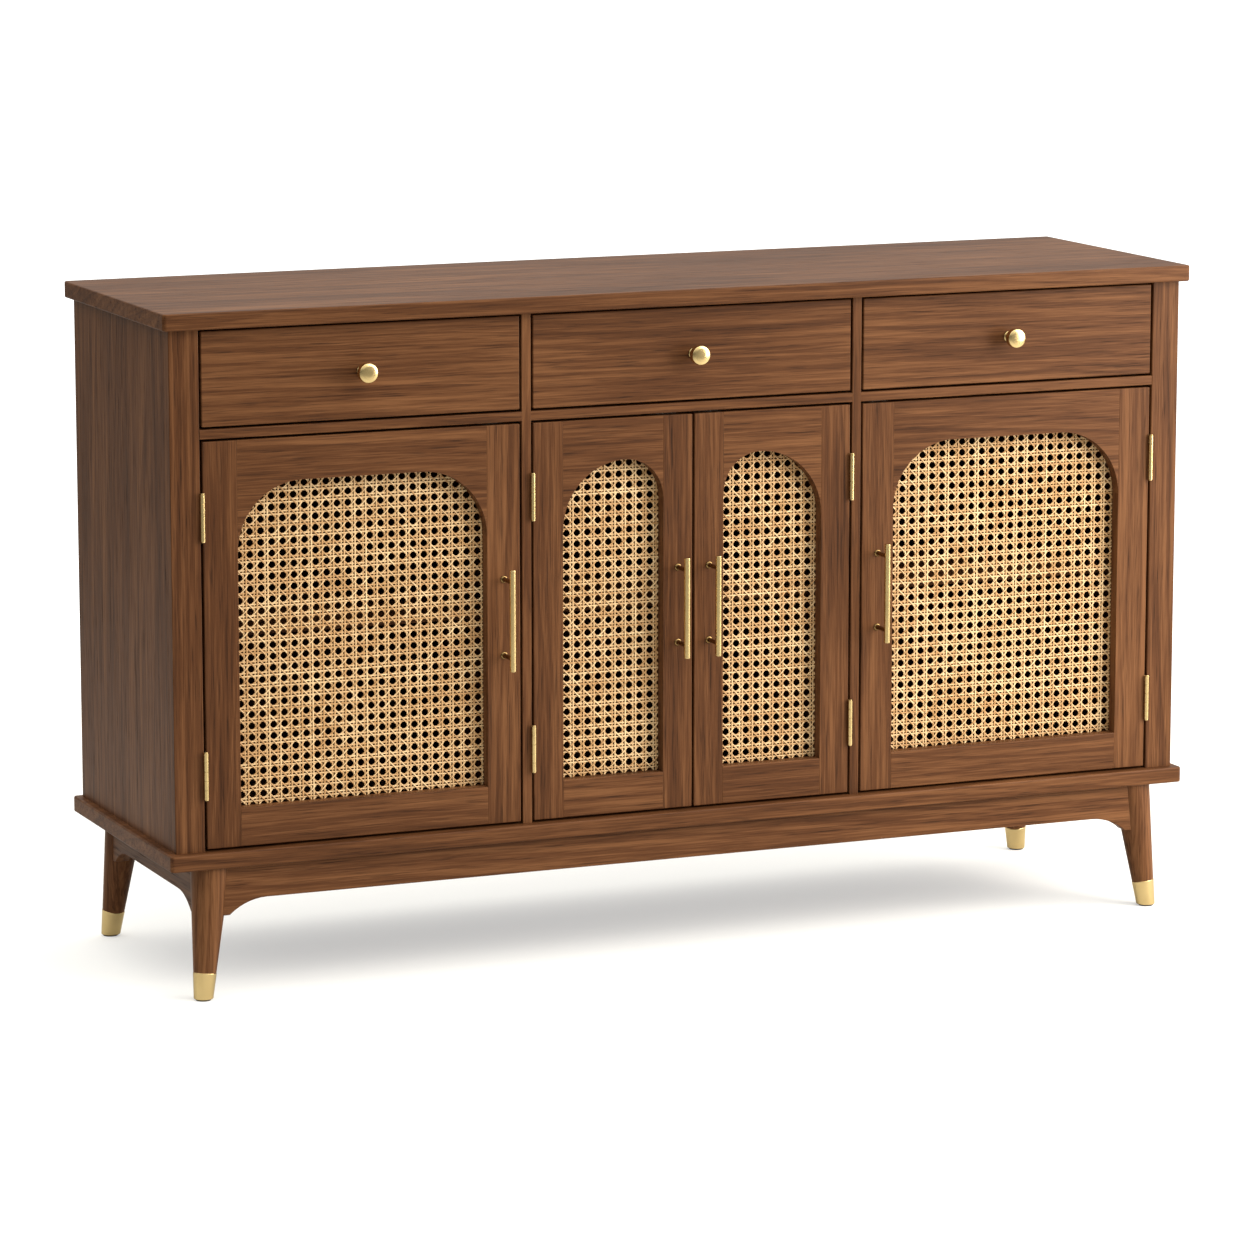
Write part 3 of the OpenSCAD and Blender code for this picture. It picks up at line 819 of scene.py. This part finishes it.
class SIDEBOARD_OT_carcass(Maker, bpy.types.Operator):
    """Makes the side panels, front stiles, partitions, decks and back"""
    bl_idname = "sideboard.carcass"
    bl_label = "Carcass boards"

    def execute(self, context):
        boards("left_side_panel", ["left_side_board"], glued_walnut("Z"))
        boards("right_side_panel", ["right_side_board"], glued_walnut("Z"))
        boards("front_stiles", ["left_front_stile", "right_front_stile"], walnut("Z"))
        boards("left_partition", ["left_partition_board"], walnut("Z"))
        boards("right_partition", ["right_partition_board"], walnut("Z"))
        boards("drawer_decks", ["left_drawer_deck", "centre_drawer_deck", "right_drawer_deck"], walnut("X"))
        boards("back_panel", ["back_board"], plain_walnut("Z"))
        return {"FINISHED"}


class SIDEBOARD_OT_inside(Maker, bpy.types.Operator):
    """Makes the shelves, their pins and the drawer runners"""
    bl_idname = "sideboard.inside"
    bl_label = "Shelves and runners"

    def execute(self, context):
        boards("shelves", ["left_shelf", "centre_shelf", "right_shelf"], walnut("X"))
        names = [f"{drawer}_{side}_runner" for drawer in DRAWERS for side in ("left", "right")]
        boards("drawer_runners", names, hardwood("Y"))
        bm = bmesh.new()
        for solid in solids_of("shelf_pins"):
            x, z, y = middle_of(solid)
            high = box_of(solid)[1]
            half = high.x - x
            radius = high.z - z
            profile = rounded([(0, -half), (radius, -half), (radius, half), (0, half)], 0.6 * MM)
            turn(bm, profile, Matrix.Translation((x, y, z)) @ Matrix.Rotation(math.pi / 2, 4, "Y"), 24)
            solid.free()
        piece("brass_shelf_pins", bm, "cabinet", ["shelf_pins"], [satin_brass()])
        return {"FINISHED"}


# ---- base ----

def leg_place(side_x, side_y):
    """Where a leg's foot stands on the floor, with local +Z up the leg, and the leg's length."""
    leg = bpy.context.scene.sideboard_leg
    foot = Vector((side_x * FOOT.x, SLAB_MIDDLE_Y + side_y * FOOT_REACH_Y, 0))
    top = Vector((foot.x - side_x * leg.splay, foot.y - side_y * leg.splay, BASE_LOW.z))
    axis = top - foot
    return Matrix.Translation(foot) @ axis.to_track_quat("Z", "Y").to_matrix().to_4x4(), axis.length


def leg_radius(along, whole):
    """Radius of a leg at a distance from its foot."""
    leg = bpy.context.scene.sideboard_leg
    return leg.foot_radius + (leg.top_radius - leg.foot_radius) * along / whole


def cut_level(bm, height, keep_above):
    """Cuts a mesh at a level and closes it again."""
    geometry = bm.verts[:] + bm.edges[:] + bm.faces[:]
    cut = bmesh.ops.bisect_plane(bm, geom=geometry, plane_co=(0, 0, height), plane_no=(0, 0, 1),
                                 clear_inner=keep_above, clear_outer=not keep_above)
    edges = [e for e in cut["geom_cut"] if isinstance(e, bmesh.types.BMEdge)]
    bmesh.ops.holes_fill(bm, edges=edges)


class SIDEBOARD_OT_legs(Maker, bpy.types.Operator):
    """Turns the four legs"""
    bl_idname = "sideboard.legs"
    bl_label = "Legs"

    def execute(self, context):
        leg = context.scene.sideboard_leg
        tip = 6 * MM
        shoulder = leg.ferrule - 0.4 * MM
        past_top = 12 * MM
        steps = 8
        for corner, (side_x, side_y) in CORNERS.items():
            place, whole = leg_place(side_x, side_y)
            profile = [(0, tip), (leg_radius(tip, whole) - FERRULE_WALL, tip),
                       (leg_radius(leg.ferrule, whole) - FERRULE_WALL, shoulder),
                       (leg_radius(leg.ferrule, whole), shoulder)]
            for i in range(1, steps + 1):
                along = leg.ferrule + (whole + past_top - leg.ferrule) * i / steps
                profile.append((leg_radius(along, whole), along))
            profile.append((0, whole + past_top))
            bm = bmesh.new()
            turn(bm, profile, place, 96)
            cut_level(bm, BASE_LOW.z, keep_above=False)
            board(f"{corner}_turned_leg", bm, f"{corner}_leg", walnut("Z"), 0.3 * MM)
        return {"FINISHED"}


class SIDEBOARD_OT_ferrules(Maker, bpy.types.Operator):
    """Makes the brass ferrules and the pads under them"""
    bl_idname = "sideboard.ferrules"
    bl_label = "Ferrules and pads"

    def execute(self, context):
        leg = context.scene.sideboard_leg
        end = leg.ferrule
        start = -5 * MM
        floor = 6 * MM
        for corner, (side_x, side_y) in CORNERS.items():
            place, whole = leg_place(side_x, side_y)
            profile = [(0, start), (leg_radius(start, whole) + leg.proud, start),
                       (leg_radius(end, whole) + leg.proud, end),
                       (leg_radius(end, whole) - FERRULE_WALL, end),
                       (leg_radius(floor, whole) - FERRULE_WALL, floor), (0, floor)]
            bm = bmesh.new()
            turn(bm, profile, place, 96)
            cut_level(bm, PAD_T, keep_above=True)
            ease(bm, 0.9 * MM, 0.45 * MM, neighbours_of("ferrules"))
            piece(f"{corner}_ferrule", bm, "cabinet", ["ferrules"], [satin_brass()], 0.9 * MM)
            bm = bmesh.new()
            profile = rounded([(0, 0), (PAD_RADIUS, 0), (PAD_RADIUS, PAD_T), (0, PAD_T)], 0.6 * MM)
            middle = Matrix.Translation((side_x * FOOT.x, SLAB_MIDDLE_Y + side_y * FOOT_REACH_Y, 0))
            turn(bm, profile, middle, 48)
            piece(f"{corner}_pad", bm, "cabinet", ["foot_pads"], [pad_rubber()])
        return {"FINISHED"}


class SIDEBOARD_OT_aprons(Maker, bpy.types.Operator):
    """Makes the aprons between the legs"""
    bl_idname = "sideboard.aprons"
    bl_label = "Aprons"

    def execute(self, context):
        boards("front_apron", ["front_apron_board"], walnut("X"))
        rear = ["rear_left_bracket", "rear_apron_rail", "rear_right_bracket"]
        boards("rear_apron", rear, walnut("X"))
        boards("side_aprons", ["left_apron_board", "right_apron_board"], walnut("Y"))
        return {"FINISHED"}


# ---- drawers ----

class SIDEBOARD_OT_drawers(Maker, bpy.types.Operator):
    """Makes the drawer fronts, boxes and bottoms"""
    bl_idname = "sideboard.drawers"
    bl_label = "Drawers"

    def execute(self, context):
        for drawer in DRAWERS:
            boards(f"{drawer}_front", [f"{drawer}_face"], walnut("X"))
            boards(f"{drawer}_box", [f"{drawer}_sides_and_back"], drawer_maple("Y"), 0.8 * MM)
            boards(f"{drawer}_bottom", [f"{drawer}_base"], drawer_maple("X"), 0.3 * MM)
        return {"FINISHED"}


class SIDEBOARD_OT_knobs(Maker, bpy.types.Operator):
    """Turns the drawer knobs"""
    bl_idname = "sideboard.knobs"
    bl_label = "Knobs"

    def execute(self, context):
        brass = context.scene.sideboard_brass
        back = 11.5 * MM
        neck_end = back - 2 * MM
        for drawer in DRAWERS:
            low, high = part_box(f"{drawer}_knob")
            head = (high.x - low.x) / 2
            reach = high.y - low.y
            rim = reach - 3.6 * MM
            rose = rounded([(0, 0), (brass.rose, 0), (brass.rose, 1.6 * MM),
                            (brass.neck + 1.5 * MM, 2.4 * MM), (brass.neck, 3.6 * MM),
                            (brass.neck, neck_end)], 0.8 * MM)
            grip = rounded([(brass.neck, neck_end), (head - 2.5 * MM, back), (head, back + 3 * MM),
                            (head, rim)], 2.4 * MM, 6)
            face = rounded([(head, rim), (head - 0.3 * MM, reach - 2.3 * MM),
                            (head - 1.5 * MM, reach - 1.7 * MM), (head * 0.72, reach - 0.9 * MM),
                            (head * 0.4, reach - 0.25 * MM), (0, reach)], 1.5 * MM, 6)
            place = Matrix.Translation(((low.x + high.x) / 2, FACE_Y, (low.z + high.z) / 2))
            place = place @ Matrix.Rotation(math.pi / 2, 4, "X")
            bm = bmesh.new()
            for profile in (rose, grip, face):
                turn(bm, profile, place, 72)
            bmesh.ops.remove_doubles(bm, verts=bm.verts, dist=1e-6)
            piece(f"{drawer}_turned_knob", bm, drawer, [f"{drawer}_knob"], [satin_brass()])
        return {"FINISHED"}


# ---- doors ----

def split_at(bm, heights):
    """Adds edge loops at some heights, so that a long edge can be a joint along part of its length."""
    for height in heights:
        geometry = bm.verts[:] + bm.edges[:] + bm.faces[:]
        bmesh.ops.bisect_plane(bm, geom=geometry, plane_co=(0, 0, height), plane_no=(0, 0, 1))


class SIDEBOARD_OT_doors(Maker, bpy.types.Operator):
    """Makes the stiles, rails and cane beads of the doors"""
    bl_idname = "sideboard.doors"
    bl_label = "Door frames"

    def execute(self, context):
        for door in DOORS:
            bottom, top = sorted(solids_of(f"{door}_rails"), key=lambda rail: middle_of(rail)[1])
            opening = (box_of(bottom)[1].z, box_of(top)[0].z)
            board(f"{door}_bottom_rail", bottom, f"{door}_rails", walnut("X"))
            board(f"{door}_top_rail", top, f"{door}_rails", walnut("X"))
            for side, bm in zip(("left", "right"), solids_of(f"{door}_stiles")):
                split_at(bm, opening)
                board(f"{door}_{side}_stile", bm, f"{door}_stiles", walnut("Z"))
            boards(f"{door}_bead", [f"{door}_cane_bead"], hardwood("Z"))
        return {"FINISHED"}


def arch_test(door):
    """A test of whether a point (x, z) lies on the door's cane sheet, and the sheet's box."""
    sheet = frame["nodes"][f"{door}_cane"].data
    tree = BVHTree.FromPolygons([v.co for v in sheet.vertices], [p.vertices for p in sheet.polygons])
    low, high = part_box(f"{door}_cane")

    def inside(x, z):
        hit = tree.ray_cast(Vector((x, low.y - 0.05, z)), Vector((0, 1, 0)))[0]
        return hit is not None
    return inside, low, high


def strand_points(start, step, levels, count, inside, y):
    """Runs of (x, y, z) along a strand, broken where it leaves the sheet."""
    runs, run = [], []
    for i in range(count):
        x, z = start[0] + step[0] * i, start[1] + step[1] * i
        if inside(x, z):
            run.append(Vector((x, y - levels(i), z)))
        else:
            runs.append(run)
            run = []
    return [r for r in runs + [run] if len(r) > 1]


def lay_strand(bm, layer, points, width, thick, tone, draw):
    """Lays one flat-backed, round-faced strand along some points, facing the front."""
    section = ((-0.5, 0.0), (-0.32, 0.78), (0.0, 1.0), (0.32, 0.78), (0.5, 0.0))
    direction = (points[-1] - points[0]).normalized()
    sideways = Vector((direction.z, 0, -direction.x))
    drift = draw.uniform(-0.12, 0.12) * MM
    rings = []
    run = draw.uniform(0, 5)
    for i, point in enumerate(points):
        if i:
            run += (point - points[i - 1]).length
        nudge = sideways * (drift + draw.uniform(-0.07, 0.07) * MM)
        ring = []
        for across, out in section:
            vert = bm.verts.new(point + nudge + sideways * (across * width) + Vector((0, -out * thick, 0)))
            vert[layer] = (across * 2, run, tone)
            ring.append(vert)
        rings.append(ring)
    for low, high in zip(rings, rings[1:]):
        for i in range(len(section)):
            j = (i + 1) % len(section)
            bm.faces.new((low[i], low[j], high[j], high[i]))
    bm.faces.new(rings[0][::-1])
    bm.faces.new(rings[-1])


def weave(door):
    """Upright and level strands in pairs, and diagonals that cross between the holes."""
    cane = bpy.context.scene.sideboard_cane
    draw = random.Random(f"{door} {cane.seed}")
    inside, low, high = arch_test(door)
    pitch = cane.pitch
    quarter = pitch / 4
    dip = 0.35 * MM
    y = (low.y + high.y) / 2 + dip
    columns = int((high.x - low.x) / pitch) + 2
    rows = int((high.z - low.z) / pitch) + 2
    x0 = (low.x + high.x) / 2 - columns * pitch / 2
    z0 = low.z - pitch / 2
    bm = bmesh.new()
    layer = bm.verts.layers.float_vector.new("strand")

    def lay(start, step, count, width, levels):
        for points in strand_points(start, step, levels, count, inside, y):
            lay_strand(bm, layer, points, width, cane.thick, draw.random(), draw)

    def pair_level(k, i, first):
        """A strand rises over or dips under each pair that it crosses, and is level in between."""
        if i % 4 not in (1, 2):
            return 0.0
        return dip if (k + (i + 1) // 2) % 2 == first else -dip

    # a pair of strands stands between each two columns of holes, and lies between each two rows
    for k in range(columns * 2 + 2):
        x = x0 + pitch * (k // 2) + quarter * (1.5 + k % 2)
        lay((x, z0 + quarter / 2), (0, quarter), rows * 4 + 4, cane.straight, lambda i: pair_level(k, i, 0))
    for k in range(rows * 2 + 2):
        z = z0 + pitch * (k // 2) + quarter * (1.5 + k % 2)
        lay((x0 + quarter / 2, z), (quarter, 0), columns * 4 + 4, cane.straight,
            lambda i: pair_level(k, i, 1))

    # one slope lies over the upright pairs and under the level ones, and the other the other way round
    for slope in (1, -1):
        z = z0 + quarter / 2 if slope > 0 else z0 + pitch * rows - quarter / 2
        for k in range(-rows - 1, columns + rows + 2):
            x = x0 + pitch * (k + 0.5) + quarter / 2
            lay((x, z), (quarter, quarter * slope), (rows + columns) * 4 + 8, cane.slanted,
                lambda i: 2 * dip * slope * (1 if i % 4 in (0, 3) else -1))
    return bm


class SIDEBOARD_OT_cane(Maker, bpy.types.Operator):
    """Weaves the cane sheet of each door"""
    bl_idname = "sideboard.cane"
    bl_label = "Cane"

    def execute(self, context):
        for door in DOORS:
            piece(f"{door}_woven_cane", weave(door), door, [f"{door}_cane"], [cane_skin()])
        return {"FINISHED"}


class SIDEBOARD_OT_handles(Maker, bpy.types.Operator):
    """Makes the bar handles with their posts and roses"""
    bl_idname = "sideboard.handles"
    bl_label = "Handles"

    def execute(self, context):
        brass = context.scene.sideboard_brass
        bar = 4 * MM
        foot = brass.post + 1.75 * MM
        for door in DOORS:
            low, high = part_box(f"{door}_handle")
            x = (low.x + high.x) / 2
            z = (low.z + high.z) / 2
            half = (high.z - low.z) / 2
            reach = high.y - low.y - bar
            bm = bmesh.new()
            ends = rounded([(0, -half), (bar, -half), (bar, half), (0, half)], 0.9 * MM)
            turn(bm, ends, Matrix.Translation((x, low.y + bar, z)), 48)
            post = rounded([(0, 0), (foot, 0), (foot, 1.2 * MM), (brass.post + 0.4 * MM, 1.9 * MM),
                            (brass.post, 2.8 * MM), (brass.post, reach), (0, reach)], 0.5 * MM)
            for side in (-1, 1):
                place = Matrix.Translation((x, FACE_Y, z + side * brass.post_gap / 2))
                # the posts take the darker brass, a painted shade under the bar
                turn(bm, post, place @ Matrix.Rotation(math.pi / 2, 4, "X"), 40, 1)
            piece(f"{door}_bar_handle", bm, door, [f"{door}_handle"], [satin_brass(), shaded_post_brass()])
        return {"FINISHED"}


# ---- hinges and catches ----

def screw(bm, place):
    """A countersunk screw head with a cross slot, flush with the leaf."""
    head = 2.4 * MM
    sunk = -0.6 * MM
    turn(bm, rounded([(0, sunk), (head, sunk), (head, 0.12 * MM), (0, 0.16 * MM)], 0.1 * MM), place, 24)
    for turned in (0, math.pi / 2):
        slot = bmesh.new()
        block(slot, (-1.3 * MM, -0.22 * MM, 0.10 * MM), (1.3 * MM, 0.22 * MM, 0.21 * MM), 1)
        slot.transform(place @ Matrix.Rotation(turned, 4, "Z"))
        spare = bpy.data.meshes.new("slot")
        slot.to_mesh(spare)
        slot.free()
        bm.from_mesh(spare)
        bpy.data.meshes.remove(spare)


def leaf_piece(name, node, pin_x, solids, body):
    """Hinge leaves with their knuckles, from the CAD solids, with three screws in each."""
    bm = bmesh.new()
    spare = bpy.data.meshes.new("leaf")
    for solid in solids:
        solid.to_mesh(spare)
        bm.from_mesh(spare)
    bpy.data.meshes.remove(spare)
    ease(bm, 0.35 * MM)
    for solid in solids:
        low, high = box_of(solid)
        flat = [v.co.x for v in solid.verts if v.co.y > FACE_Y + 3 * MM]
        near, far = min(flat), max(flat)
        outward = 1 if (near + far) / 2 < pin_x else -1
        face_x = far if outward > 0 else near
        for share_up in (0.2, 0.5, 0.8):
            spot = Vector((face_x, FACE_Y + 9 * MM, low.z + (high.z - low.z) * share_up))
            screw(bm, Matrix.Translation(spot) @ Matrix.Rotation(outward * math.pi / 2, 4, "Y"))
    piece(name, bm, body, [node], [satin_brass(), catch_steel()], 0.35 * MM)


class SIDEBOARD_OT_hinges(Maker, bpy.types.Operator):
    """Makes the hinge leaves, their screws and the pins"""
    bl_idname = "sideboard.hinges"
    bl_label = "Hinges"

    def execute(self, context):
        fixed = solids_of("frame_hinge_leaves")
        pins = solids_of("hinge_pins")
        rod, cap, cap_h = 1.5 * MM, 2.6 * MM, 1.2 * MM
        for door in DOORS:
            node = f"{door}_hinge_leaves"
            low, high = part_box(node)
            pin_x = (low.x + high.x) / 2
            own = [leaf for leaf in fixed if abs(middle_of(leaf)[0] - pin_x) < HINGE_NEAR]
            leaf_piece(f"{door}_moving_leaves", node, pin_x, solids_of(node), door)
            leaf_piece(f"{door}_fixed_leaves", "frame_hinge_leaves", pin_x, own, "cabinet")
            bm = bmesh.new()
            for pin in pins:
                x, z, y = middle_of(pin)
                if abs(x - pin_x) < HINGE_NEAR:
                    half = box_of(pin)[1].z - z
                    profile = rounded([(0, -half), (cap, -half), (cap, cap_h - half), (rod, cap_h - half),
                                       (rod, half - cap_h), (cap, half - cap_h), (cap, half), (0, half)],
                                      0.5 * MM)
                    turn(bm, profile, Matrix.Translation((x, y, z)), 32)
            piece(f"{door}_hinge_pins", bm, "cabinet", ["hinge_pins"], [satin_brass()])
        return {"FINISHED"}


class SIDEBOARD_OT_catches(Maker, bpy.types.Operator):
    """Makes the magnet catches under the decks"""
    bl_idname = "sideboard.catches"
    bl_label = "Magnet catches"

    def execute(self, context):
        ear = 6 * MM
        half_pole = 0.7 * MM
        for door, solid in zip(DOORS, solids_of("magnet_catches"), strict=True):
            low, high = box_of(solid)
            solid.free()
            bm = bmesh.new()
            ear_low = high.z - 2.5 * MM
            block(bm, (low.x + ear, low.y + 1 * MM, low.z), (high.x - ear, high.y, high.z))
            block(bm, (low.x, low.y + 3 * MM, ear_low), (high.x, high.y - 2 * MM, high.z))
            for share_up in (0.3, 0.7):
                z = low.z + (high.z - low.z) * share_up
                block(bm, (low.x + ear + 2 * MM, low.y, z - half_pole),
                      (high.x - ear - 2 * MM, high.y - 2 * MM, z + half_pole), 1)
            ease(bm, 0.5 * MM)
            for x in (low.x + ear / 2, high.x - ear / 2):
                under = Matrix.Translation((x, (low.y + high.y) / 2 + 0.5 * MM, ear_low))
                screw(bm, under @ Matrix.Rotation(math.pi, 4, "X"))
            materials = [catch_plastic(), catch_steel()]
            piece(f"{door}_catch", bm, "cabinet", ["magnet_catches"], materials, 0.5 * MM)
        return {"FINISHED"}


OPERATORS = (
    SIDEBOARD_OT_stage, SIDEBOARD_OT_slabs, SIDEBOARD_OT_carcass, SIDEBOARD_OT_inside, SIDEBOARD_OT_legs,
    SIDEBOARD_OT_ferrules, SIDEBOARD_OT_aprons, SIDEBOARD_OT_drawers, SIDEBOARD_OT_knobs, SIDEBOARD_OT_doors,
    SIDEBOARD_OT_cane, SIDEBOARD_OT_handles, SIDEBOARD_OT_hinges, SIDEBOARD_OT_catches,
)
GROUPS = {
    "sideboard_wood": SIDEBOARD_PG_wood, "sideboard_cane": SIDEBOARD_PG_cane,
    "sideboard_brass": SIDEBOARD_PG_brass, "sideboard_leg": SIDEBOARD_PG_leg,
    "sideboard_stage": SIDEBOARD_PG_stage,
}


class SIDEBOARD_PT_parts(bpy.types.Panel):
    """Lists the parts of the sideboard and their sizes and colours"""
    bl_idname = "SIDEBOARD_PT_parts"
    bl_label = "Cane sideboard"
    bl_space_type = "VIEW_3D"
    bl_region_type = "UI"
    bl_category = "Sideboard"

    def draw(self, context):
        for name, group in GROUPS.items():
            box = self.layout.box()
            for field in group.__annotations__:
                box.prop(getattr(context.scene, name), field)
        for operator in OPERATORS:
            self.layout.operator(operator.bl_idname)


def register():
    for group in GROUPS.values():
        bpy.utils.register_class(group)
    for name, group in GROUPS.items():
        setattr(bpy.types.Scene, name, PointerProperty(type=group))
    for kind in (*OPERATORS, SIDEBOARD_PT_parts):
        bpy.utils.register_class(kind)


def unregister():
    for kind in (SIDEBOARD_PT_parts, *reversed(OPERATORS)):
        bpy.utils.unregister_class(kind)
    for name, group in GROUPS.items():
        delattr(bpy.types.Scene, name)
        bpy.utils.unregister_class(group)


def main():
    """Builds every part in order."""
    register()
    for operator in OPERATORS:
        getattr(bpy.ops.sideboard, operator.bl_idname.split(".")[1])()


if __name__ == "__main__":
    main()
